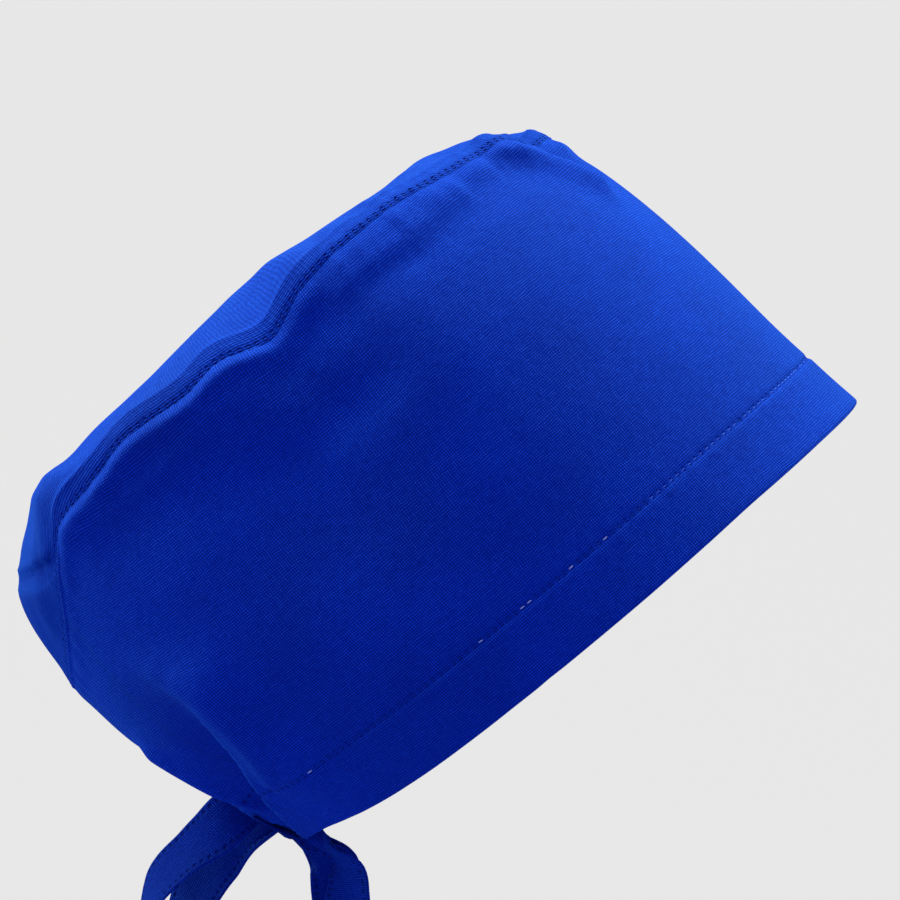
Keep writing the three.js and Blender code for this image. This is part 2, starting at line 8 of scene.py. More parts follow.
import bpy
import numpy as np
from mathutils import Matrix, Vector


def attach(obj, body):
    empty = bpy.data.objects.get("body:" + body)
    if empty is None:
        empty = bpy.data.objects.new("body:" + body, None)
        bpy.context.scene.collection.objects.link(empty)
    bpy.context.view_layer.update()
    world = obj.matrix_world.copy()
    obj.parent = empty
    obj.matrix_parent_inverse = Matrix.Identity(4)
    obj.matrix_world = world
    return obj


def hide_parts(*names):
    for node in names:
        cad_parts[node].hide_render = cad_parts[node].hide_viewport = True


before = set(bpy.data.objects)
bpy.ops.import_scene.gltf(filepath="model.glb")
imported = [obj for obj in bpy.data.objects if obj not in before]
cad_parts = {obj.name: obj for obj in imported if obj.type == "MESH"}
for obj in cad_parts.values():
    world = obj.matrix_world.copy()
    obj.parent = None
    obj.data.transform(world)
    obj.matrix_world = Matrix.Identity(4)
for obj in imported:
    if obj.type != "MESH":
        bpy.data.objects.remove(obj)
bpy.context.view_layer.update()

# Sizes, as in the part's source
RIM_HALF_LENGTH = 105
RIM_HALF_WIDTH = 77
BAND_HEIGHT = 122
HEM_HEIGHT = 19
HEM_STITCH_HEIGHT = 19.5
RIM_TILT = math.radians(38.2)
CROWN_DOME = 14.8
CROWN_PEAK_BACK = 10
SEAM_ALLOWANCE = 6
NAPE_RECESS = 17
NAPE_RIDGE = 2.6
SEAM_PUCKER = 1.3
SIDE_DENT = 3
FRONT_RIDGE = 2.4
TIE_WIDTH = 15.5
LOOP_LENGTH = 60
TAIL_LENGTH = 74
KNOT_SIZE = (14, 9, 13)
KNOT_INSET = 8
KNOT_RISE = 8
LEAD_CLEARANCE = 0.6
KNOT_CLEARANCE = 0.8
LEAD_START = 164
LEAD_END = 170

# Cloth
CLOTH = 0.8
HEM_CLOTH = 1.9
STRAP_CLOTH = 0.9
ALLOWANCE_CLOTH = 1.4
YARN_PITCH = 0.70
HEM_STITCH_PITCH = 2.4
SEAM_STITCH_PITCH = 2.55
HEM_STITCH_SIZE = (1.75, 0.42, 0.36)
SEAM_STITCH_SIZE = (1.5, 0.40, 0.32)
SEAM_STITCH_INWARD = 1.2
STRAP_STITCH_SHARE = 0.82
UV_UNIT = 100

# Mesh
COLUMNS = 440
BACK_CROWDING = 0.42
ROUNDNESS = 2 / 2.15
CROWN_SAMPLES = 64
CROWN_ROWS = 70
NEVER = 1e9

# Picture: the eye is level with the cap's middle, and sees this many mm in the middle plane
EYE = (-0.700, 0.039, 0.04995)
SEEN_WIDTH = 270
SENSOR = 36
PAPER = (0.785, 0.785, 0.775, 1)

# Reach of the plan by height, as (height, front, side, back) shares
SECTIONS = [
    (-0.02, 0.998, 1.000, 1.010), (0.10, 0.971, 1.015, 1.078), (0.25, 0.944, 1.035, 1.152),
    (0.45, 0.915, 1.050, 1.222), (0.65, 0.876, 1.045, 1.246), (0.82, 0.829, 1.005, 1.246),
    (0.94, 0.775, 0.950, 1.232), (1.03, 0.730, 0.905, 1.215),
]
# Rim and crown seam by degrees from the forehead, as shares of BAND_HEIGHT
EDGES = [
    (0, 0.000, 0.952), (22, 0.006, 0.957), (41, 0.010, 0.998), (57, 0.010, 1.008),
    (70, 0.004, 1.022), (82, -0.003, 1.018), (88, -0.006, 1.013), (91.6, -0.008, 1.002),
    (93.5, -0.009, 0.988), (96.3, -0.010, 0.964), (97.6, -0.010, 0.957), (100, -0.012, 0.965),
    (104, -0.013, 0.984), (110, -0.015, 0.971), (119, -0.016, 0.984), (128, -0.014, 0.956),
    (137, -0.008, 0.930), (143, 0.000, 0.860), (150, 0.008, 0.762), (158, 0.008, 0.690),
    (168, 0.000, 0.640), (180, 0.000, 0.625),
]
SHOULDERS = [(0, 2.1), (60, 2.15), (95, 2.4), (120, 2.45), (150, 3.1), (180, 3.6)]

# Main folds of the band: line in (degrees, height share), half width, how far out, share on the left
BAND_FOLDS = [
    ((180, 0.24), (180, -0.1), 0.78, -NAPE_RECESS, 1),
    ((135, 0.46), (137, 0.14), 0.46, NAPE_RIDGE, 0.8),
    ((162, 0.38), (159, 0.14), 0.28, NAPE_RIDGE, 0.9),
    ((58, 0.955), (88, 0.945), 0.20, SEAM_PUCKER, 0.8),
    ((103, 0.905), (134, 0.875), 0.22, SEAM_PUCKER, 1),
    ((95, 0.93), (94, 0.76), 0.50, -SIDE_DENT, 0.5),
    ((38, 0.99), (26, 0.80), 0.28, FRONT_RIDGE, 0.7),
    ((24, 0.97), (18, 0.84), 0.30, -FRONT_RIDGE, 0.5),
]
CROWN_FOLDS = [
    ((99, 0.10), (98, 0.22), 0.35, -SEAM_PUCKER, 0.5),
    ((52, 0.22), (30, 0.34), 0.32, SEAM_PUCKER, 1),
]
# Pleat at the back: degrees, share of the way to the peak for its crest and for its lower line
PLEAT = [
    (141, 0.012, 0.002), (144.5, 0.059, 0.012), (148.5, 0.118, 0.060), (154.5, 0.172, 0.127),
    (158.5, 0.199, 0.156), (167, 0.235, 0.195), (180, 0.262, 0.220),
]
# How far the back of the crown stands out from its plain dome, by height in the row frame, both in mm
DOME_TRIM = [
    (8, 0.0), (12, -0.5), (17, -1.4), (22, -1.1), (27, -0.8), (32, 0.3), (36.5, 1.6), (40.5, 1.6),
    (44, 0.5), (47, -0.9), (51, -1.9), (57, -2.1), (64, -2.3), (70, -1.9), (78, -1.1), (86, 0.0),
    (94, 1.3), (101, 2.2), (105, 1.4), (110, 0.3), (116, 0.0),
]
# Fine creases of the band: (degrees, mm above the rim) along each, half width, how far out
FINE_CREASES = [
    ([(140, 66), (136.5, 54), (137, 42), (138.5, 32), (142, 22)], 5.0, 2.3),
    ([(171, 40), (168, 30), (166.5, 20), (164.5, 12), (162, 5)], 1.4, 1.5),
    ([(98.5, 113), (97.5, 104), (95.5, 90)], 3.6, -0.7),
    ([(84, 113), (79, 112), (74, 110)], 2.4, -0.7),
    ([(41, 119), (35, 113), (29, 105), (25, 97)], 1.6, 0.9),
    ([(24, 112), (21, 104), (20, 94)], 2.2, -0.7),
]
# The shaded hollow under the seam's dip: degrees, mm above the rim, depth
HOLLOW = [
    (79, 83, 0.0), (88, 82, 1.1), (95, 83, 4.0), (105, 87, 6.2), (114, 93, 5.0), (124, 101, 2.2),
    (136, 108, 0.0),
]
# The deep tuck beside the nape: where its fold runs, (degrees, mm above the rim, depth)
TUCK = [
    (138, 58, 0.0), (140.5, 43, 2.8), (143.8, 30.3, 6.2), (149, 20, 8.6), (153, 12.6, 8.0),
    (156.1, 6.4, 5.2), (158.4, 2, 3.2), (160.5, -4, 2.2),
]


def smooth_table(rows, column, at):
    """A smooth curve through one column of a table that doesn't overshoot between its rows."""
    keys = np.array([row[0] for row in rows], float)
    values = np.array([row[column] for row in rows], float)
    slopes = np.diff(values) / np.diff(keys)
    tangents = np.concatenate([slopes[:1], np.zeros(len(keys) - 2), slopes[-1:]])
    before, after = slopes[:-1], slopes[1:]
    steady = before * after > 0
    tangents[1:-1][steady] = 2 * (before * after)[steady] / (before + after)[steady]
    at = np.clip(at, keys[0], keys[-1])
    row = np.clip(np.searchsorted(keys, at, side="right") - 1, 0, len(keys) - 2)
    gap = (keys[row + 1] - keys[row])
    s = (at - keys[row]) / gap
    t = 1 - s
    return (t * t * (1 + 2 * s) * values[row] + s * s * (3 - 2 * s) * values[row + 1]
            + gap * s * t * (t * tangents[row] - s * tangents[row + 1]))


def smooth_step(share):
    s = np.clip(share, 0, 1)
    return s * s * (3 - 2 * s)


def from_front(angle):
    """Degrees from the forehead, 0 to 180, on either side."""
    return np.degrees(np.arccos(np.clip(np.cos(angle), -1, 1)))


def unit(vectors):
    return vectors / np.maximum(np.linalg.norm(vectors, axis=-1, keepdims=True), 1e-12)


def to_row(points):
    """Cap frame in millimetres to the row frame in metres."""
    c, s = math.cos(RIM_TILT), math.sin(RIM_TILT)
    x, y, z = points[..., 0], points[..., 1], points[..., 2]
    return np.stack([x, y * c + z * s, z * c - y * s], axis=-1) / 1000


def ripple(angle, count, seed):
    """A wavering line round the cap of about count waves, from -1 to 1 or so."""
    draw = np.random.default_rng(seed)
    total = 0
    for _ in range(5):
        waves = int(round(count * draw.uniform(0.65, 1.35)))
        total = total + draw.uniform(0.5, 1) * np.sin(waves * angle + draw.uniform(0, 6.28))
    return total / 2.4


MEAN_REACH = (RIM_HALF_LENGTH + RIM_HALF_WIDTH) / 2


def line_distance(degrees, across, start, end):
    """Distance in mm from a fold's line on the unrolled cloth."""
    round_mm = np.radians(degrees - start[0]) * MEAN_REACH
    span_round = math.radians(end[0] - start[0]) * MEAN_REACH
    span_across = end[1] - start[1]
    along = (round_mm * span_round + (across - start[1]) * span_across) / (span_round ** 2 + span_across ** 2)
    along = np.clip(along, 0, 1)
    return np.hypot(round_mm - along * span_round, across - start[1] - along * span_across)


def fold_shift(folds, angle, across, unit_height):
    degrees = from_front(angle)
    on_left = np.sin(angle) < 0
    shift = 0
    for start, end, reach, out, left in folds:
        distance = line_distance(degrees, across, (start[0], start[1] * unit_height),
                                 (end[0], end[1] * unit_height))
        side = np.where(on_left, left, 1)
        shift = shift + side * out * np.exp(-(distance / (reach * HEM_HEIGHT)) ** 2)
    return shift


def crease_shift(angle, height):
    """Fine creases: a crest sharper than a fold's."""
    degrees = from_front(angle)
    on_left = np.sin(angle) < 0
    shift = 0
    for line, width, out in FINE_CREASES:
        nearest = np.full(np.shape(degrees + height), NEVER)
        for start, end in zip(line, line[1:]):
            nearest = np.minimum(nearest, line_distance(degrees, height, start, end))
        soft = np.sqrt(nearest ** 2 + (0.3 * width) ** 2) - 0.3 * width
        shift = shift + np.where(on_left, 0.75, 1) * out * np.exp(-soft / width)
    return shift


def tuck_shift(angle, height):
    """Cloth folded over on itself: a sharp crest towards the side, a deep valley towards the nape."""
    degrees = from_front(angle)
    nearest = np.full(np.shape(degrees + height), NEVER)
    signed, depth = nearest.copy(), 0 * nearest
    for start, end in zip(TUCK, TUCK[1:]):
        distance = line_distance(degrees, height, start, end)
        span_round = math.radians(end[0] - start[0]) * MEAN_REACH
        span_up = end[1] - start[1]
        round_mm = np.radians(degrees - start[0]) * MEAN_REACH
        length = math.hypot(span_round, span_up)
        side = (round_mm * -span_up + (height - start[1]) * span_round) / length
        along = np.clip((round_mm * span_round + (height - start[1]) * span_up) / length ** 2, 0, 1)
        closer = distance < nearest
        nearest = np.where(closer, distance, nearest)
        signed = np.where(closer, np.where(side > 0, distance, -distance), signed)
        depth = np.where(closer, start[2] + (end[2] - start[2]) * along, depth)
    into = np.maximum(signed, 0)
    valley = -(1 - np.exp(-into / 1.3)) * np.exp(-(into / 11) ** 2)
    crest = 0.12 * np.exp(-np.maximum(-signed, 0) / 3.2) * np.exp(-into / 1.1)
    return np.where(np.sin(angle) < 0, 0.8, 1) * depth * (valley + crest)


def hollow_shift(angle, height):
    """A wide hollow: steep below the seam's ridge, easing out down the side."""
    degrees = from_front(angle)
    above = height - smooth_table(HOLLOW, 1, degrees)
    depth = smooth_table(HOLLOW, 2, degrees) * np.where(np.sin(angle) < 0, 0.6, 1)
    return -depth * np.exp(-(above / np.where(above > 0, 16, 46)) ** 2)


def edge_height(column, angle):
    return BAND_HEIGHT * smooth_table(EDGES, column, from_front(angle))


def band_surface(angle, z):
    level = z / BAND_HEIGHT
    ahead, aside = np.cos(angle), np.sin(angle)
    reach = np.where(ahead >= 0, smooth_table(SECTIONS, 1, level), smooth_table(SECTIONS, 3, level))
    wide = smooth_table(SECTIONS, 2, level)
    return np.stack([-RIM_HALF_WIDTH * wide * np.sign(aside) * np.abs(aside) ** ROUNDNESS,
                     -RIM_HALF_LENGTH * reach * np.sign(ahead) * np.abs(ahead) ** ROUNDNESS,
                     z + 0 * ahead], axis=-1)


def outward(surface, angle, z):
    turn, rise = 0.004, 0.4
    around = surface(angle + turn, z) - surface(angle - turn, z)
    upward = surface(angle, z + rise) - surface(angle, z - rise)
    return unit(np.cross(upward, around))


def band_folded(angle, z):
    shift = fold_shift(BAND_FOLDS, angle, z, BAND_HEIGHT)
    return band_surface(angle, z) + outward(band_surface, angle, z) * shift[..., None]


def band_relief(angle, z):
    """What stitching and gathering do to the outer face of the band, in mm outward."""
    over_rim = z - edge_height(1, angle)
    under_seam = edge_height(2, angle) - z
    degrees = from_front(angle)
    relief = sum(shift(angle, over_rim) for shift in (crease_shift, tuck_shift, hollow_shift))
    # hem: the doubled cloth stands out a little, the stitches pull a groove with puckers across it
    drawn = 1 - 0.75 * smooth_step((degrees - 116) / 18)
    relief = relief + 0.28 * drawn * smooth_step((HEM_STITCH_HEIGHT - over_rim) / 1.6)
    from_stitch = over_rim - HEM_STITCH_HEIGHT
    relief = relief - 0.42 * drawn * np.exp(-(from_stitch / 0.75) ** 2)
    pucker = ripple(angle, 74, 5) * np.exp(-np.abs(from_stitch) / 4.5)
    relief = relief + 0.13 * pucker * (1 + 1.2 * smooth_step((degrees - 120) / 30))
    # seam: cloth rolls over below the stitches in a puckered ridge
    roll = np.exp(-((under_seam - 3.0) / 3.9) ** 2) * (1 - 0.7 * smooth_step((degrees - 136) / 8))
    relief = relief + 0.5 * np.exp(-(under_seam / 0.9) ** 2) * smooth_step((degrees - 136) / 6)
    behind = smooth_step((degrees - 92) / 8) * (1 - smooth_step((degrees - 132) / 14))
    relief = relief + roll * (1.2 + 2.0 * behind + 0.35 * ripple(angle, 46, 11))
    relief = relief + 0.22 * ripple(angle, 92, 12) * np.exp(-(under_seam - 4) ** 2 / 30)
    # gathers at the nape, deepest at the rim
    gather = smooth_step((degrees - 150) / 14) * np.exp(-(over_rim / 26) ** 2)
    relief = relief + 0.8 * gather * ripple(angle, 52, 21)
    # the cloth is never quite flat
    drift = np.sin(0.09 * z + 3.1 * np.sin(2.3 * angle)) * ripple(angle, 9, 31)
    return relief + 0.22 * drift


def crown_base(angles, inward_mm):
    """Points of the crown by columns and by mm of cloth from the seam; inward_mm is rows by columns."""
    edge = band_folded(angles, edge_height(2, angles))
    power = 2 / smooth_table(SHOULDERS, 1, from_front(angles))
    peak = np.array([0, CROWN_PEAK_BACK, BAND_HEIGHT + CROWN_DOME])
    turn = np.linspace(0, math.pi / 2, CROWN_SAMPLES)[:, None]
    out = np.maximum(np.cos(turn), 0) ** power[None]
    up = np.maximum(np.sin(turn), 0) ** power[None]
    line = np.stack([peak[0] + (edge[:, 0] - peak[0]) * out, peak[1] + (edge[:, 1] - peak[1]) * out,
                     edge[:, 2] + (peak[2] - edge[:, 2]) * up], axis=-1)
    steps = np.linalg.norm(np.diff(line, axis=0), axis=-1)
    lengths = np.concatenate([np.zeros((1, len(angles))), np.cumsum(steps, axis=0)])
    found = np.empty(inward_mm.shape + (3,))
    for i in range(len(angles)):
        for k in range(3):
            found[:, i, k] = np.interp(inward_mm[:, i], lengths[:, i], line[:, i, k])
    return found, lengths[-1]


def grid_normals(grid):
    """Outward normals of a grid of rows by columns that closes round its columns; rows run upward."""
    around = np.roll(grid, -1, axis=1) - np.roll(grid, 1, axis=1)
    upward = np.gradient(grid, axis=0)
    return unit(np.cross(upward, around))


def smooth_rows(values, times):
    for _ in range(times):
        values = (np.roll(values, 1, axis=1) + 2 * values + np.roll(values, -1, axis=1)) / 4
    return values


def columns():
    even = np.arange(COLUMNS) / COLUMNS * 2 * math.pi
    return even + BACK_CROWDING * np.sin(even)


def band_levels(angles):
    """Rows of the outer face from the rim up, closer at the hem's stitches and at the seam."""
    rim, seam = edge_height(1, angles), edge_height(2, angles)
    low = [0.95, 2, 3.5, 5.5, 7.5, 9.5, 11.5, 13.5, 15.2, 16.6, 17.6, 18.3, 18.9, HEM_STITCH_HEIGHT,
           20.1, 20.7, 21.5, 22.8, 24.4]
    high = [9.5, 8, 6.8, 5.8, 5, 4.2, 3.4, 2.6, 1.9, 1.3, 0.8, 0.4, 0]
    rows = [rim + mm for mm in low]
    for i in range(1, 54):
        rows.append((rim + low[-1]) + (seam - high[0] - rim - low[-1]) * i / 54)
    rows += [seam - mm for mm in high]
    return np.array(rows), low.index(HEM_STITCH_HEIGHT)


def loop_lengths(row):
    """Length round a closed row of points at each column, and the whole."""
    steps = np.linalg.norm(np.roll(row, -1, axis=0) - row, axis=-1)
    return np.concatenate([[0], np.cumsum(steps)])


def deselect():
    bpy.ops.object.select_all(action="DESELECT")


def cloth_from_grid(name, grid, uv_maps):
    """A grid primitive laid over rows by columns of points, closed where its edges meet."""
    rows, across = grid.shape[:2]
    deselect()
    bpy.ops.mesh.primitive_grid_add(x_subdivisions=across - 1, y_subdivisions=rows - 1, size=1)
    piece = bpy.context.object
    piece.name = piece.data.name = name
    mesh = piece.data
    flat = np.empty(len(mesh.vertices) * 3)
    mesh.vertices.foreach_get("co", flat)
    flat = flat.reshape(-1, 3)
    column = np.round((flat[:, 0] + 0.5) * (across - 1)).astype(int)
    row = np.round((flat[:, 1] + 0.5) * (rows - 1)).astype(int)
    mesh.vertices.foreach_set("co", to_row(grid)[row, column].ravel())
    corner = np.empty(len(mesh.loops), int)
    mesh.loops.foreach_get("vertex_index", corner)
    while mesh.uv_layers:
        mesh.uv_layers.remove(mesh.uv_layers[0])
    for title, values in uv_maps.items():
        layer = mesh.uv_layers.new(name=title)
        layer.uv.foreach_set("vector", values[row[corner], column[corner]].ravel())
    mesh.update()
    bpy.ops.object.mode_set(mode="EDIT")
    bpy.ops.mesh.select_all(action="SELECT")
    bpy.ops.mesh.remove_doubles(threshold=0.000004)
    bpy.ops.object.mode_set(mode="OBJECT")
    bpy.ops.object.shade_smooth()
    mesh.polygons.foreach_set("use_smooth", [True] * len(mesh.polygons))
    return piece


def closed(values):
    """The first column again at the end, so that a grid meets itself."""
    return np.concatenate([values, values[:, :1]], axis=1)


def wall_uv(around_mm, across_mm):
    return np.stack([around_mm, across_mm], axis=-1) / UV_UNIT


def side_band(angles):
    levels, stitch_level = band_levels(angles)
    turns = np.broadcast_to(angles, levels.shape)
    folded = band_folded(turns, levels)
    normals = grid_normals(folded)
    outer = folded + normals * band_relief(turns, levels)[..., None]
    rim = edge_height(1, angles)
    over_rim = levels - rim
    lengths = loop_lengths(outer[stitch_level])
    u = np.append(lengths[:-1], lengths[-1])

    # the sheet runs down the outside, round the rim's fold and up the inside
    rows, heights = [outer[::-1]], [over_rim[::-1]]
    half = HEM_CLOTH / 2
    bottom_normal = normals[0]
    for degrees in (35, 65, 90, 115, 145):
        t = math.radians(degrees)
        point = band_folded(angles, rim + half - half * math.sin(t))
        shift = -half * (1 - math.cos(t)) + band_relief(angles, rim + half)
        rows.append((point + bottom_normal * shift[:, None])[None])
        heights.append((0 * rim + half - half * math.sin(t))[None])
    inner_rows = [0, 1, 2, 4, 6, 8, 10, 12, stitch_level, stitch_level + 1, stitch_level + 2]
    inner_rows += list(range(stitch_level + 5, len(levels) - 14, 2)) + [len(levels) - 8, len(levels) - 1]
    follow = smooth_rows(band_relief(turns, levels), 2)
    for row in inner_rows:
        thick = HEM_CLOTH if row <= stitch_level else CLOTH
        low = follow[row] if row <= stitch_level else np.minimum(follow[row], 0.6)
        rows.append((folded[row] + normals[row] * (low - thick)[:, None])[None])
        heights.append(over_rim[row][None])
    rows.append(outer[-1:])
    heights.append(over_rim[-1:])
    grid = closed(np.concatenate(rows))
    height = closed(np.concatenate(heights))
    around = np.broadcast_to(u, height.shape)
    maps = {"cloth": wall_uv(around, height), "stitch": wall_uv(around, height - HEM_STITCH_HEIGHT)}
    return cloth_from_grid("band_cloth", grid, maps), outer, stitch_level


def crown_panel(angles, band_top):
    """Rows from the seam inward; the first few follow the pressed seam allowance."""
    seam_rows = [0, 0.4, 0.8, SEAM_STITCH_INWARD, 1.7, 2.3, 3, 3.8, 4.6, 5.3, 5.8, 6.2, 6.6, 7.1, 7.8, 8.8,
                 10]
    _, whole = crown_base(angles, np.zeros((1, len(angles))))
    rows = [0 * whole + mm for mm in seam_rows]
    for i in range(1, CROWN_ROWS + 1):
        rows.append(seam_rows[-1] + (whole - seam_rows[-1]) * (i / CROWN_ROWS) ** 1.25)
    inward = np.array(rows)
    base, _ = crown_base(angles, inward)
    base = smooth_rows(base, 1)
    normals = grid_normals(base)
    normals[-1] = (0, 0, 1)
    share = inward / whole
    turns = np.broadcast_to(angles, inward.shape)
    degrees = from_front(turns)
    fade_seam = smooth_step(inward / (2 * SEAM_ALLOWANCE))
    fade_peak = smooth_step((1 - share) * 3)
    shift = fold_shift(CROWN_FOLDS, turns, share * RIM_HALF_WIDTH, RIM_HALF_WIDTH)
    shift = shift * fade_seam * fade_peak
    # pleat at the back: a sharp crest, a steep drop to the tucked cloth, and its lower line
    crest = smooth_table(PLEAT, 1, degrees)
    below = (crest - share) * whole
    width = (crest - smooth_table(PLEAT, 2, degrees)) * whole
    rise = np.where(below < 0, np.exp(np.minimum(below, 0) / 5), 1 - 1.8 * smooth_step(below / 1.4))
    flap = np.where(below < 1.4, rise, -0.8 * (1 - smooth_step((below - width + 1.8) / 1.8)))
    strength = 0.75 - 0.3 * smooth_step((degrees - 160) / 14)
    shift = shift + flap * smooth_step((degrees - 141) / 4) * strength
    height = to_row(base)[..., 2] * 1000
    at_back = smooth_step((base[..., 1] + 25) / 35)
    shift = shift + smooth_table(DOME_TRIM, 1, height) * smooth_step((inward - 2) / 16) * at_back
    # allowance: a flat strip that ends in a small step, and runs out beside the nape
    runs_out = 1 - smooth_step((degrees - 134) / 9)
    edge_wave = (SEAM_ALLOWANCE + 0.35 * ripple(turns, 21, 41)) * (0.25 + 0.75 * runs_out)
    strip = 1 - smooth_step((inward - edge_wave) / 0.9)
    edge = band_relief(angles, edge_height(2, angles))
    relief = edge * np.exp(-inward / 4.5) + 0.45 * runs_out * strip * (1 - np.exp(-inward / 3))
    relief = relief + 0.5 * runs_out * np.exp(-((inward - edge_wave - 0.2) / 1.2) ** 2)
    relief = relief - 0.10 * np.exp(-((inward - 1.1) / 0.8) ** 2)
    close_ripple = ripple(turns, 96, 42) * np.exp(-inward / 5) * smooth_step(inward / 1.2)
    relief = relief + 0.26 * runs_out * close_ripple
    relief = relief + 0.5 * ripple(turns, 30, 43) * np.exp(-((inward - 12) / 7) ** 2)
    drift = np.sin(0.11 * inward + 2.4 * np.sin(1.7 * turns)) * ripple(turns, 7, 44)
    relief = relief + 0.35 * drift * fade_peak * fade_seam
    outer = base + normals * (shift + relief)[..., None]
    outer[0] = band_top
    outer[-1] = outer[-1].mean(axis=0)
    inner_rows = [len(inward) - 1] + list(range(len(inward) - 2, 20, -2)) + [16, 15, 12, 9, 6, 3, 0]
    inner = []
    for row in inner_rows:
        thick = np.where(inward[row] < 8.5, ALLOWANCE_CLOTH, CLOTH)
        low = np.minimum((shift + relief)[row], 0.5) if row < 17 else (shift + relief)[row]
        inner.append(base[row] + normals[row] * (low - thick)[:, None])
    inner = np.array(inner)
    inner[0] = outer[-1] - np.array([0, 0, CLOTH])
    # rows: outer from the peak down to the seam, inner from the seam back up
    grid = np.concatenate([outer[::-1], inner[::-1]])
    from_seam = np.concatenate([inward[::-1], inward[inner_rows][::-1]])
    whole_rows = np.broadcast_to(whole, from_seam.shape)
    radius = whole_rows - from_seam
    flat_u, flat_v = radius * np.sin(turns[:1]), radius * np.cos(turns[:1])
    stitch_line = seam_rows.index(SEAM_STITCH_INWARD)
    lengths = loop_lengths(outer[stitch_line])
    along = np.broadcast_to(lengths, (len(from_seam), len(lengths)))
    maps = {"cloth": closed(wall_uv(flat_u, flat_v)),
            "stitch": wall_uv(along, closed(from_seam) - SEAM_STITCH_INWARD)}
    return cloth_from_grid("crown_cloth", closed(grid), maps), outer, stitch_line


def stitch_row(name, line, normal, pitch, size, start=0.0, gap=0.0, sink=0.0):
    """One stitch modelled as by hand, copied along a closed line of points into one piece."""
    deselect()
    bpy.ops.mesh.primitive_uv_sphere_add(segments=8, ring_count=6, radius=0.5)
    bead = bpy.context.object
    bpy.ops.object.mode_set(mode="EDIT")
    bpy.ops.mesh.select_all(action="SELECT")
    bpy.ops.transform.resize(value=size)
    bpy.ops.object.mode_set(mode="OBJECT")
    shape = np.array([v.co[:] for v in bead.data.vertices])
    faces = [list(p.vertices) for p in bead.data.polygons]
    length = size[0]
    shape[:, 2] -= 0.35 * size[2] * (2 * shape[:, 0] / length) ** 2  # the ends dip into the cloth
    whole = np.concatenate([line, line[:1]])
    steps = np.concatenate([[0], np.cumsum(np.linalg.norm(np.diff(whole, axis=0), axis=-1))])
    count = int(round(steps[-1] / pitch))
    at = (np.arange(count) + 0.5 + start) / count * steps[-1] % steps[-1]

    def take(values, where):
        looped = np.concatenate([values, values[:1]])
        return np.stack([np.interp(where % steps[-1], steps, looped[:, k]) for k in range(3)], axis=-1)

    centre, ahead = take(line, at), unit(take(line, at + 0.8) - take(line, at - 0.8))
    up = unit(take(normal, at))
    side = unit(np.cross(up, ahead))
    draw = np.random.default_rng(len(name))
    tilt = draw.normal(0, 0.05, count)[:, None]
    ahead = unit(ahead + side * tilt)
    side = unit(np.cross(up, ahead))
    # behind the fold beside the nape the thread is buried in the gathers
    centre = centre + up * (gap - sink * smooth_step((centre[:, 1:2] - 87) / 6))
    points = (centre[:, None] + shape[None, :, :1] * ahead[:, None] + shape[None, :, 1:2] * side[:, None]
              + shape[None, :, 2:] * up[:, None])
    bpy.data.objects.remove(bead)
    mesh = bpy.data.meshes.new(name)
    total = [[v + i * len(shape) for v in face] for i in range(count) for face in faces]
    mesh.from_pydata(to_row(points).reshape(-1, 3).tolist(), [], total)
    mesh.polygons.foreach_set("use_smooth", [True] * len(mesh.polygons))
    piece = bpy.data.objects.new(name, mesh)
    bpy.context.collection.objects.link(piece)
    return piece, centre, len(faces)


# Ties: routes from the middle of the knot as shares of the length, as in the part's source:
# back, down, left, width share, then the way that the width points (back, down, left)
RIGHT_LOOP = [
    (0.10, -0.03, -0.03, 0.55, 0.0, -1.0, 0.1), (0.22, -0.02, -0.05, 0.85, 0.1, -1.0, 0.2),
    (0.31, 0.03, -0.08, 1.0, 0.4, -0.9, 0.3), (0.40, 0.11, -0.11, 1.0, 0.5, -0.7, 0.5),
    (0.50, 0.19, -0.13, 1.0, 0.4, -0.6, 0.7), (0.60, 0.28, -0.14, 1.0, 0.4, -0.5, 0.8),
    (0.68, 0.39, -0.14, 1.0, 0.4, -0.3, 0.9), (0.70, 0.52, -0.12, 1.0, 0.5, -0.1, 0.8),
    (0.69, 0.64, -0.09, 1.0, 0.2, 0.0, 1.0), (0.64, 0.70, -0.05, 1.0, 0.0, 0.0, 1.0),
    (0.58, 0.65, -0.01, 1.0, 0.3, -0.2, 0.9), (0.52, 0.51, 0.03, 1.0, 0.7, -0.4, 0.6),
    (0.46, 0.38, 0.04, 1.0, 0.8, -0.5, 0.4), (0.38, 0.26, 0.04, 1.0, 0.8, -0.6, 0.3),
    (0.28, 0.15, 0.03, 0.85, 0.6, -0.8, 0.2), (0.13, 0.05, 0.02, 0.55, 0.3, -1.0, 0.1),
]
LEFT_LOOP = [
    (-0.06, 0.11, -0.03, 0.5, 1.0, 0.0, 0.2), (-0.16, 0.18, -0.04, 0.7, 1.0, -0.6, 0.5),
    (-0.26, 0.28, -0.05, 0.95, 0.7, -0.3, 0.6), (-0.28, 0.40, -0.06, 1.0, 0.8, 0.0, 0.6),
    (-0.27, 0.54, -0.06, 1.0, 0.9, 0.0, 0.3), (-0.27, 0.68, -0.03, 1.0, 1.0, 0.0, 0.0),
    (-0.26, 0.77, 0.03, 1.0, 1.0, 0.0, 0.0), (-0.25, 0.79, 0.08, 1.0, 1.0, 0.0, 0.0),
    (-0.24, 0.74, 0.13, 1.0, 1.0, 0.0, 0.0), (-0.225, 0.58, 0.14, 1.0, 1.0, 0.0, 0.0),
    (-0.215, 0.42, 0.12, 1.0, 1.0, 0.0, 0.0), (-0.18, 0.29, 0.10, 0.9, 1.0, -0.2, 0.1),
    (-0.08, 0.20, 0.07, 0.6, 1.0, -0.5, 0.2), (-0.01, 0.13, 0.03, 0.45, 1.0, -0.4, 0.2),
]
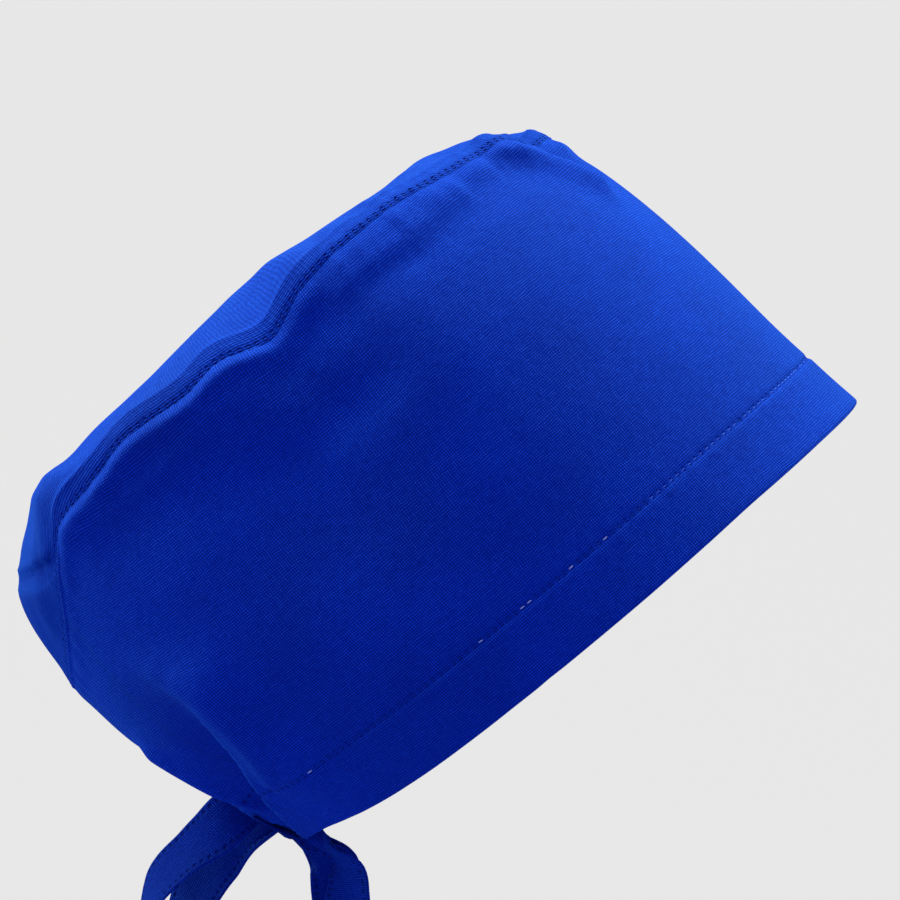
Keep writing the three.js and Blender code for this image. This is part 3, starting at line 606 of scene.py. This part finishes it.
RIGHT_TAIL = [
    (0.10, 0.03, 0.055, 0.5, 0.3, -1.0, 0.2), (0.205, 0.085, 0.08, 0.8, 0.6, -0.8, 0.3),
    (0.30, 0.165, 0.09, 0.85, 0.7, -0.6, 0.4), (0.38, 0.265, 0.09, 0.85, 0.7, -0.5, 0.4),
    (0.42, 0.38, 0.09, 0.9, 0.8, -0.4, 0.4), (0.445, 0.53, 0.08, 1.0, 0.9, -0.2, 0.3),
    (0.46, 0.70, 0.07, 1.0, 1.0, -0.1, 0.2), (0.45, 0.88, 0.07, 1.0, 1.0, 0.0, 0.1),
]
LEFT_TAIL = [
    (-0.01, 0.10, 0.085, 0.45, 1.0, 0.0, -0.3), (-0.09, 0.16, 0.13, 0.7, 1.0, -0.3, 0.0),
    (-0.155, 0.25, 0.16, 0.95, 1.0, -0.2, 0.0), (-0.185, 0.40, 0.17, 1.0, 1.0, 0.0, 0.0),
    (-0.18, 0.60, 0.17, 1.0, 1.0, 0.0, 0.0), (-0.165, 0.82, 0.16, 1.0, 1.0, 0.0, 0.1),
    (-0.14, 1.00, 0.15, 1.0, 1.0, 0.0, 0.1),
]


def knot_centre():
    nape = band_surface(np.array([math.pi]), np.array([float(KNOT_RISE)]))[0]
    return to_row(np.array([0, nape[1] - KNOT_INSET, KNOT_RISE])) * 1000


def catmull(points, shares):
    """Centripetal Catmull-Rom curve through points, read at shares of its points."""
    first, last = 2 * points[0] - points[1], 2 * points[-1] - points[-2]
    p = np.concatenate([[first], points, [last]])
    knots = np.concatenate([[0], np.cumsum(np.linalg.norm(np.diff(p, axis=0), axis=-1) ** 0.5)])
    found = []
    for share in shares:
        i = min(int(share * (len(points) - 1)), len(points) - 2)
        part = share * (len(points) - 1) - i
        t0, t1, t2, t3 = knots[i:i + 4]
        a, b, c, d = p[i:i + 4]
        t = t1 + part * (t2 - t1)
        mix = lambda x, y, s, e: (x * (e - t) + y * (t - s)) / (e - s)
        ab, bc, cd = mix(a, b, t0, t1), mix(b, c, t1, t2), mix(c, d, t2, t3)
        found.append(mix(mix(ab, bc, t0, t2), mix(bc, cd, t1, t3), t1, t2))
    return np.array(found)


def strap(name, points, ways, widths, seed):
    """A folded and stitched cotton strap along a route in row-frame millimetres."""
    steps = max(10, int(np.linalg.norm(np.diff(points, axis=0), axis=-1).sum() / 1.1))
    shares = np.linspace(0, 1, steps)
    centre = catmull(points, shares)
    place = shares * (len(points) - 1)
    way = np.stack([np.interp(place, np.arange(len(ways)), ways[:, k]) for k in range(3)], axis=-1)
    width = np.interp(place, np.arange(len(widths)), widths) * TIE_WIDTH
    ahead = unit(np.gradient(centre, axis=0))
    across = unit(way - ahead * (way * ahead).sum(-1, keepdims=True))
    face = np.cross(ahead, across)
    side = np.array([-1, -0.94, -0.86, -0.78, -0.6, -0.35, -0.1, 0.15, 0.4, 0.62, 0.78, 0.86, 0.94, 1])
    draw = np.random.default_rng(seed)
    run = np.concatenate([[0], np.cumsum(np.linalg.norm(np.diff(centre, axis=0), axis=-1))])
    bunch = 1 - width / TIE_WIDTH
    phase = draw.uniform(0, 6.28, 4)
    grid = np.empty((len(side), steps, 3))
    for j, s in enumerate(side):
        wave = (0.32 * np.sin(run / 5.1 + phase[0] + 1.4 * s) * s
                + 0.22 * np.sin(run / 2.9 + phase[1] - 2.1 * s)
                + 0.16 * np.sin(run / 8.3 + phase[2]) * (1 - s * s))
        wave = wave - 0.12 * np.exp(-((abs(s) - STRAP_STITCH_SHARE) / 0.05) ** 2)
        gather = bunch * 2.6 * np.sin(3.2 * math.pi * s + phase[3])
        grid[j] = centre + across * (s * width / 2)[:, None] + face * (wave + gather)[:, None]
    top, under = grid, grid - face[None] * STRAP_CLOTH
    edge_a = (grid[:1] + under[:1]) / 2 - across[None] * 0.35
    edge_b = (grid[-1:] + under[-1:]) / 2 + across[None] * 0.35
    ring = np.concatenate([top, edge_b, under[::-1], edge_a, top[:1]]) + face[None] * (STRAP_CLOTH / 2)
    count = ring.shape[0]
    ends = []
    for end in (0, -1):
        ends.append(np.broadcast_to(ring[:, end].mean(axis=0), ring[:, end].shape))
    whole = np.concatenate([ends[0][:, None], ring, ends[1][:, None]], axis=1)
    v = np.concatenate([side, [1.06], side[::-1], [-1.06], side[:1]]) * TIE_WIDTH / 2
    u = np.concatenate([[0], run, run[-1:]])
    uv = wall_uv(np.broadcast_to(u, (count, len(u))), np.broadcast_to(v[:, None], (count, len(u))))
    edge_gap = TIE_WIDTH / 2 * STRAP_STITCH_SHARE
    stitch_uv = wall_uv(np.broadcast_to(u, (count, len(u))),
                        np.broadcast_to((np.abs(v) - edge_gap)[:, None], (count, len(u))))
    back = np.stack([whole[..., 0], whole[..., 1] * math.cos(RIM_TILT) - whole[..., 2] * math.sin(RIM_TILT),
                     whole[..., 1] * math.sin(RIM_TILT) + whole[..., 2] * math.cos(RIM_TILT)], axis=-1)
    piece = cloth_from_grid(name, back, {"cloth": uv, "stitch": stitch_uv})
    recalculate(piece)
    return piece, run[-1]


def recalculate(piece):
    deselect()
    piece.select_set(True)
    bpy.context.view_layer.objects.active = piece
    bpy.ops.object.mode_set(mode="EDIT")
    bpy.ops.mesh.select_all(action="SELECT")
    bpy.ops.mesh.dissolve_degenerate(threshold=0.000001)
    bpy.ops.mesh.normals_make_consistent(inside=False)
    bpy.ops.object.mode_set(mode="OBJECT")


def off_knot(way):
    size = np.linalg.norm(way / np.array(KNOT_SIZE)) * 2
    length = np.linalg.norm(way)
    return way * (length / size + KNOT_CLEARANCE) / length


def bow_strap(name, route, length, knot, is_loop, seed):
    route = np.array(route)
    stops = np.stack([route[:, 2], route[:, 0], -route[:, 1]], axis=-1) * length
    stops[0] = off_knot(stops[0])
    if is_loop:
        stops[-1] = off_knot(stops[-1])
    ways = unit(np.stack([route[:, 6], route[:, 4], -route[:, 5]], axis=-1))
    return strap(name, stops + knot, ways, route[:, 3], seed)


def lead_strap(name, side, knot, seed):
    clear = 0.6 + LEAD_CLEARANCE
    middle = TIE_WIDTH / 2 + 0.3

    def sewn(share):
        angle = np.array([-side * math.radians(LEAD_START + (LEAD_END - LEAD_START) * share)])
        at = lambda z, turn=0.0: to_row(band_folded(angle + turn, np.array([float(z)])))[0] * 1000
        up = at(2 * middle) - at(0)
        around = at(middle, 0.01) - at(middle, -0.01)
        return (at(0) + at(2 * middle)) / 2 + unit(np.cross(up, around)) * clear, up

    stops, ways = zip(*[sewn(s) for s in (0, 1 / 3, 2 / 3, 1)])
    beside = knot + np.array([side * (KNOT_SIZE[0] / 2 + LEAD_CLEARANCE), 0, 0])
    points = np.array(list(stops) + [beside])
    ways = unit(np.array(list(ways) + [ways[-1]]))
    return strap(name, points, ways, np.array([1, 1, 0.95, 0.7, 0.45]), seed)


def tie_knot(knot):
    """The knot: turns of strap pressed into a lump, with one turn round its middle."""
    deselect()
    bpy.ops.mesh.primitive_uv_sphere_add(segments=72, ring_count=48, radius=0.0005, location=(0, 0, 0))
    core = bpy.context.object
    core.name = core.data.name = "knot_core"
    points = np.array([v.co[:] for v in core.data.vertices]) * 2000
    x, y, z = points.T
    turn = np.arctan2(z, y)
    swell = 1 + 0.035 * np.sin(9 * x + 1.3 * np.sin(turn * 2)) + 0.03 * np.sin(6 * turn + 4 * x)
    pinch = 1 - 0.12 * np.exp(-(x / 0.28) ** 2)
    shape = np.stack([x * swell, y * swell * pinch, z * swell * pinch], axis=-1) * np.array(KNOT_SIZE) / 2
    core.data.vertices.foreach_set("co", ((shape + knot) / 1000).ravel())
    core.data.update()
    bpy.ops.object.shade_smooth()
    while core.data.uv_layers:
        core.data.uv_layers.remove(core.data.uv_layers[0])
    corner = np.empty(len(core.data.loops), int)
    core.data.loops.foreach_get("vertex_index", corner)
    wrap = np.stack([shape[:, 0], turn * 6], axis=-1) / UV_UNIT
    for title in ("cloth", "stitch"):
        layer = core.data.uv_layers.new(name=title)
        layer.uv.foreach_set("vector", (wrap if title == "cloth" else wrap * 0 + 0.2)[corner].ravel())
    # the middle turn
    steps = np.linspace(0, 2 * math.pi, 25)
    ring = np.stack([0.5 * np.sin(steps), (KNOT_SIZE[1] / 2 - 0.1) * np.cos(steps),
                     (KNOT_SIZE[2] / 2 - 0.1) * np.sin(steps)], axis=-1) + knot
    ways = np.tile([[1.0, 0.08, 0.05]], (len(ring), 1))
    widths = 0.42 + 0.04 * np.sin(3 * steps)
    turn_piece, _ = strap("knot_turn", ring, ways, widths, 71)
    deselect()
    turn_piece.select_set(True)
    core.select_set(True)
    bpy.context.view_layer.objects.active = core
    bpy.ops.object.join()
    return core


def add(tree, kind, at=(0, 0), **settings):
    node = tree.nodes.new(kind)
    node.location = at
    for key, value in settings.items():
        setattr(node, key, value)
    return node


def math_node(tree, operation, a, b=None, c=None):
    node = add(tree, "ShaderNodeMath", operation=operation)
    for socket, value in zip(node.inputs, (a, b, c)):
        if value is None:
            continue
        if isinstance(value, (int, float)):
            socket.default_value = value
        else:
            tree.links.new(value, socket)
    return node.outputs[0]


def scaled(tree, source, scale, place=(0, 0, 0)):
    node = add(tree, "ShaderNodeMapping")
    node.inputs["Scale"].default_value = scale
    node.inputs["Location"].default_value = place
    tree.links.new(source, node.inputs["Vector"])
    return node.outputs[0]


def noise(tree, source, scale, detail=2.0, roughness=0.5):
    node = add(tree, "ShaderNodeTexNoise")
    node.inputs["Scale"].default_value = scale
    node.inputs["Detail"].default_value = detail
    node.inputs["Roughness"].default_value = roughness
    tree.links.new(source, node.inputs["Vector"])
    return node.outputs["Fac"]


def ribs(tree, source, direction, pitch, waver):
    """Yarns side by side at a pitch in mm."""
    node = add(tree, "ShaderNodeTexWave", wave_type="BANDS", bands_direction=direction)
    node.inputs["Scale"].default_value = 2 * math.pi / 20 / pitch
    node.inputs["Distortion"].default_value = waver
    node.inputs["Detail"].default_value = 1
    node.inputs["Detail Scale"].default_value = 0.6
    tree.links.new(source, node.inputs["Vector"])
    return node.outputs["Fac"]


def mixed(tree, share, low, high, blend="MIX"):
    node = add(tree, "ShaderNodeMix", data_type="RGBA", blend_type=blend)
    for socket, value in ((node.inputs[0], share), (node.inputs[6], low), (node.inputs[7], high)):
        if isinstance(value, (int, float, tuple)):
            socket.default_value = value
        else:
            tree.links.new(value, socket)
    return node.outputs[2]


def cotton(name, deep, plain, bright, hole_pitch, hole_shade, grain=(0.86, 0.84)):
    """Plain-woven cotton: slubby yarns both ways, needle holes along the stitch line with their shade painted
    dark into the colour.
    """
    material = bpy.data.materials.new(name)
    material.use_nodes = True
    tree = material.node_tree
    shader = tree.nodes["Principled BSDF"]
    cloth_uv = add(tree, "ShaderNodeUVMap", uv_map="cloth").outputs[0]
    cloth = scaled(tree, cloth_uv, (UV_UNIT, UV_UNIT, UV_UNIT))
    seam_uv = add(tree, "ShaderNodeUVMap", uv_map="stitch").outputs[0]
    seam = scaled(tree, seam_uv, (UV_UNIT, UV_UNIT, UV_UNIT))
    slub_along = noise(tree, scaled(tree, cloth, (0.34, 1.5, 1)), 1.0, 3.0, 0.75)
    slub_up = noise(tree, scaled(tree, cloth, (1.5, 0.34, 1), (37, 11, 0)), 1.0, 3.0, 0.75)
    rib_along = ribs(tree, cloth, "Y", YARN_PITCH, 3.4)
    rib_up = ribs(tree, cloth, "X", YARN_PITCH * 0.94, 3.4)
    along = math_node(tree, "MULTIPLY", rib_along, math_node(tree, "MULTIPLY", slub_along, grain[0] * 1.5))
    up = math_node(tree, "MULTIPLY", rib_up, math_node(tree, "MULTIPLY", slub_up, grain[1] * 1.5))
    yarn = math_node(tree, "ADD", along, up)
    glint = add(tree, "ShaderNodeMapRange")
    for key, value in (("From Min", 0.75), ("From Max", 1.45)):
        glint.inputs[key].default_value = value
    tree.links.new(yarn, glint.inputs["Value"])
    shade = add(tree, "ShaderNodeMapRange")
    for key, value in (("From Min", 0.1), ("From Max", 1.0)):
        shade.inputs[key].default_value = value
    tree.links.new(yarn, shade.inputs["Value"])
    place = add(tree, "ShaderNodeTexCoord").outputs["Object"]
    cloudy = noise(tree, place, 26.0, 3.0, 0.55)
    base = mixed(tree, shade.outputs[0], deep, plain)
    base = mixed(tree, glint.outputs[0], base, bright)
    worn = add(tree, "ShaderNodeMapRange")
    for key, value in (("From Min", 0.3), ("From Max", 0.7), ("To Min", 0.88), ("To Max", 1.10)):
        worn.inputs[key].default_value = value
    tree.links.new(cloudy, worn.inputs["Value"])
    shaded = add(tree, "ShaderNodeVectorMath", operation="SCALE")
    tree.links.new(base, shaded.inputs[0])
    tree.links.new(worn.outputs[0], shaded.inputs["Scale"])

    split = add(tree, "ShaderNodeSeparateXYZ")
    tree.links.new(seam, split.inputs[0])
    beat = math_node(tree, "PINGPONG", split.outputs[0], hole_pitch / 2)
    far = math_node(tree, "SQRT", math_node(tree, "ADD", math_node(tree, "POWER", beat, 2.0),
                                            math_node(tree, "POWER", split.outputs[1], 2.0)))
    hole = add(tree, "ShaderNodeMapRange", interpolation_type="SMOOTHSTEP")
    for key, value in (("From Min", 0.30), ("From Max", 0.85), ("To Min", 1.0), ("To Max", 0.0)):
        hole.inputs[key].default_value = value
    tree.links.new(far, hole.inputs["Value"])
    # painted shade: each needle hole is mixed towards near-black navy, the shadow inside the hole painted
    # into the colour
    painted_hole_shade = math_node(tree, "MULTIPLY", hole.outputs[0], hole_shade)
    colour = mixed(tree, painted_hole_shade, shaded.outputs[0], (0.0002, 0.003, 0.09, 1))
    tree.links.new(colour, shader.inputs["Base Color"])

    crumple = noise(tree, place, 150.0, 3.0, 0.6)
    height = math_node(tree, "MULTIPLY_ADD", yarn, 0.16,
                       math_node(tree, "MULTIPLY", crumple, 0.8))
    height = math_node(tree, "SUBTRACT", height, math_node(tree, "MULTIPLY", hole.outputs[0], 0.7))
    bump = add(tree, "ShaderNodeBump")
    bump.inputs["Strength"].default_value = 0.75
    bump.inputs["Distance"].default_value = 0.0007
    tree.links.new(height, bump.inputs["Height"])
    tree.links.new(bump.outputs[0], shader.inputs["Normal"])
    shader.inputs["Roughness"].default_value = 0.86
    shader.inputs["Specular IOR Level"].default_value = 0.10
    shader.inputs["Sheen Weight"].default_value = 0.16
    shader.inputs["Sheen Roughness"].default_value = 0.5
    shader.inputs["Sheen Tint"].default_value = (0.03, 0.40, 1.0, 1)
    return material


def thread(name, low, high):
    material = bpy.data.materials.new(name)
    material.use_nodes = True
    tree = material.node_tree
    shader = tree.nodes["Principled BSDF"]
    place = add(tree, "ShaderNodeTexCoord").outputs["Object"]
    colour = mixed(tree, noise(tree, place, 1700.0, 2.0), low, high)
    tree.links.new(colour, shader.inputs["Base Color"])
    bump = add(tree, "ShaderNodeBump")
    bump.inputs["Strength"].default_value = 0.5
    bump.inputs["Distance"].default_value = 0.0001
    tree.links.new(noise(tree, place, 3200.0, 1.0), bump.inputs["Height"])
    tree.links.new(bump.outputs[0], shader.inputs["Normal"])
    shader.inputs["Roughness"].default_value = 0.7
    shader.inputs["Specular IOR Level"].default_value = 0.12
    return material


def backdrop():
    """A pale floor that sweeps up behind the cap."""
    deselect()
    bpy.ops.mesh.primitive_plane_add(size=4.4, location=(-0.8, 0.04, -0.32))
    floor = bpy.context.object
    floor.name = floor.data.name = "pale_floor"
    bpy.ops.object.mode_set(mode="EDIT")
    bpy.ops.mesh.select_all(action="DESELECT")
    bpy.ops.object.mode_set(mode="OBJECT")
    bpy.ops.object.transform_apply(location=True, rotation=True, scale=True)
    far = max(v.co.x for v in floor.data.vertices)
    for edge in floor.data.edges:
        edge.select = all(floor.data.vertices[i].co.x > far - 0.001 for i in edge.vertices)
    bpy.ops.object.mode_set(mode="EDIT")
    bpy.ops.mesh.select_mode(type="EDGE")
    bpy.ops.mesh.extrude_region_move(TRANSFORM_OT_translate={"value": (0, 0, 2.6)})
    bpy.ops.object.mode_set(mode="OBJECT")
    for edge in floor.data.edges:
        ends = [floor.data.vertices[i].co for i in edge.vertices]
        edge.select = all(e.x > far - 0.001 and e.z < -0.31 for e in ends)
    bpy.ops.object.mode_set(mode="EDIT")
    bpy.ops.mesh.bevel(offset=0.7, segments=24, affect="EDGES")
    bpy.ops.object.mode_set(mode="OBJECT")
    bpy.ops.object.shade_smooth()
    material = bpy.data.materials.new("backdrop_paper")
    material.use_nodes = True
    shader = material.node_tree.nodes["Principled BSDF"]
    shader.inputs["Base Color"].default_value = (0.02, 0.02, 0.02, 1)
    shader.inputs["Roughness"].default_value = 1
    shader.inputs["Specular IOR Level"].default_value = 0
    shader.inputs["Emission Color"].default_value = PAPER
    shader.inputs["Emission Strength"].default_value = 1
    floor.data.materials.append(material)
    floor.visible_diffuse = floor.visible_glossy = False


def camera():
    data = bpy.data.cameras.new("photo_view")
    data.lens = SENSOR * -EYE[0] * 1000 / SEEN_WIDTH
    data.sensor_width = SENSOR
    data.clip_start = 0.01
    eye = bpy.data.objects.new("photo_view", data)
    eye.location = EYE
    eye.rotation_euler = (math.radians(90), 0, math.radians(-90))
    bpy.context.collection.objects.link(eye)
    bpy.context.scene.camera = eye


def light(name, place, target, size, power, colour=(1, 1, 1)):
    data = bpy.data.lights.new(name, "AREA")
    data.shape = "DISK"
    data.size = size
    data.energy = power
    data.color = colour
    lamp = bpy.data.objects.new(name, data)
    lamp.location = place
    way = np.array(target) - np.array(place)
    lamp.rotation_euler = Vector(way).to_track_quat("-Z", "Y").to_euler()
    bpy.context.collection.objects.link(lamp)


def studio():
    scene = bpy.context.scene
    scene.view_settings.view_transform = "Standard"
    world = bpy.data.worlds.new("studio")
    world.use_nodes = True
    tree = world.node_tree
    back = tree.nodes["Background"]
    back.inputs["Color"].default_value = (0.26, 0.32, 1.0, 1)
    back.inputs["Strength"].default_value = 0.575
    # lights the cap bluish, and looks like pale paper where it is seen past the floor
    paper = add(tree, "ShaderNodeBackground")
    paper.inputs["Color"].default_value = PAPER
    both = add(tree, "ShaderNodeMixShader")
    tree.links.new(add(tree, "ShaderNodeLightPath").outputs["Is Camera Ray"], both.inputs[0])
    tree.links.new(back.outputs[0], both.inputs[1])
    tree.links.new(paper.outputs[0], both.inputs[2])
    tree.links.new(both.outputs[0], tree.nodes["World Output"].inputs[0])
    scene.world = world
    light("key", (-0.02, -0.95, 1.15), (0, 0.0, 0.06), 0.6, 16, (1.0, 1.0, 0.97))
    light("overhead", (0.02, 0.45, 1.25), (0, 0.06, 0.05), 0.7, 18, (0.95, 0.98, 1.0))
    light("behind", (0.08, 1.15, 0.50), (0, 0.10, 0.02), 0.5, 7, (0.95, 0.98, 1.0))


camera()
studio()
backdrop()

angles = columns()
band, band_outer, band_stitch = side_band(angles)
crown, crown_outer, crown_stitch = crown_panel(angles, band_outer[-1])

cap_blue = cotton("cap_cotton_weave", (0.0003, 0.022, 0.24, 1), (0.001, 0.052, 0.46, 1),
                  (0.02, 0.15, 0.80, 1), HEM_STITCH_PITCH, 0.45)
crown_blue = cotton("crown_cotton_weave", (0.0003, 0.023, 0.24, 1), (0.001, 0.054, 0.44, 1),
                    (0.016, 0.14, 0.70, 1), SEAM_STITCH_PITCH, 0.95, (0.45, 1.1))
# the ties and knot are the cap's cotton made darker: painted shade for the shadow the straps hang in behind
# the cap
tie_blue_painted_shade = cotton("tie_cotton_painted_shade", (0.0002, 0.015, 0.17, 1), (0.0008, 0.038, 0.36, 1),
                  (0.012, 0.10, 0.60, 1), HEM_STITCH_PITCH, 0.5)
blue_thread = thread("blue_thread", (0.001, 0.04, 0.34, 1), (0.004, 0.08, 0.58, 1))
pale_thread = thread("pale_thread", (0.02, 0.13, 0.70, 1), (0.09, 0.26, 0.90, 1))
seam_blue = thread("seam_thread_blue", (0.002, 0.07, 0.52, 1), (0.008, 0.12, 0.72, 1))
white_nip = thread("white_nip", (0.85, 0.88, 0.95, 1), (0.95, 0.96, 1.0, 1))
band.data.materials.append(cap_blue)
crown.data.materials.append(crown_blue)

band_normals = grid_normals(band_outer)
crown_normals = grid_normals(crown_outer)
hem_thread, hem_places, hem_faces = stitch_row(
    "hem_stitches", band_outer[band_stitch], band_normals[band_stitch], HEM_STITCH_PITCH,
    HEM_STITCH_SIZE, 0.5, 0.05, 0.22)
seam_thread, seam_places, _ = stitch_row(
    "seam_stitches", crown_outer[crown_stitch], crown_normals[crown_stitch], SEAM_STITCH_PITCH,
    SEAM_STITCH_SIZE, 0.5, 0.02)
hem_thread.data.materials.append(blue_thread)
hem_thread.data.materials.append(pale_thread)
hem_thread.data.materials.append(white_nip)
seam_thread.data.materials.append(seam_blue)
# the under thread shows through at the front of the hem, and in a few places pulls up a white nip
draw = np.random.default_rng(8)
back = to_row(hem_places)[:, 1] * 1000
on_right = hem_places[:, 0] < 0
nips = {int(np.argmin(np.abs(back - at) + 1000 * ~on_right)) for at in (-2.3, 7.4, 18.2, 20.6, 29.9, 78)}
for i in range(len(hem_places)):
    pale = on_right[i] and -64 < back[i] < -14 and draw.random() < 0.8
    kind = 2 if i in nips else 1 if pale else 0
    for face in range(hem_faces):
        hem_thread.data.polygons[i * hem_faces + face].material_index = kind

knot = knot_centre()
core = tie_knot(knot)
straps = {}
for name, node, route, length, is_loop, seed in (
        ("loop_right_strap", "tie_loop_right", RIGHT_LOOP, LOOP_LENGTH, True, 61),
        ("loop_left_strap", "tie_loop_left", LEFT_LOOP, LOOP_LENGTH, True, 62),
        ("tail_right_strap", "tie_tail_right", RIGHT_TAIL, TAIL_LENGTH, False, 63),
        ("tail_left_strap", "tie_tail_left", LEFT_TAIL, TAIL_LENGTH, False, 64)):
    straps[node] = bow_strap(name, route, length, knot, is_loop, seed)
straps["tie_lead_right"] = lead_strap("lead_right_strap", -1, knot, 65)
straps["tie_lead_left"] = lead_strap("lead_left_strap", 1, knot, 66)

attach(band, "root")
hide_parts("side_band")
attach(crown, "root")
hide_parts("crown_panel")
for piece in (hem_thread, seam_thread):
    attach(piece, "root")
core.data.materials.append(tie_blue_painted_shade)
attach(core, "root")
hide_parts("tie_knot")
for node, (piece, length) in straps.items():
    piece.data.materials.append(tie_blue_painted_shade)
    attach(piece, "root")
    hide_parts(node)
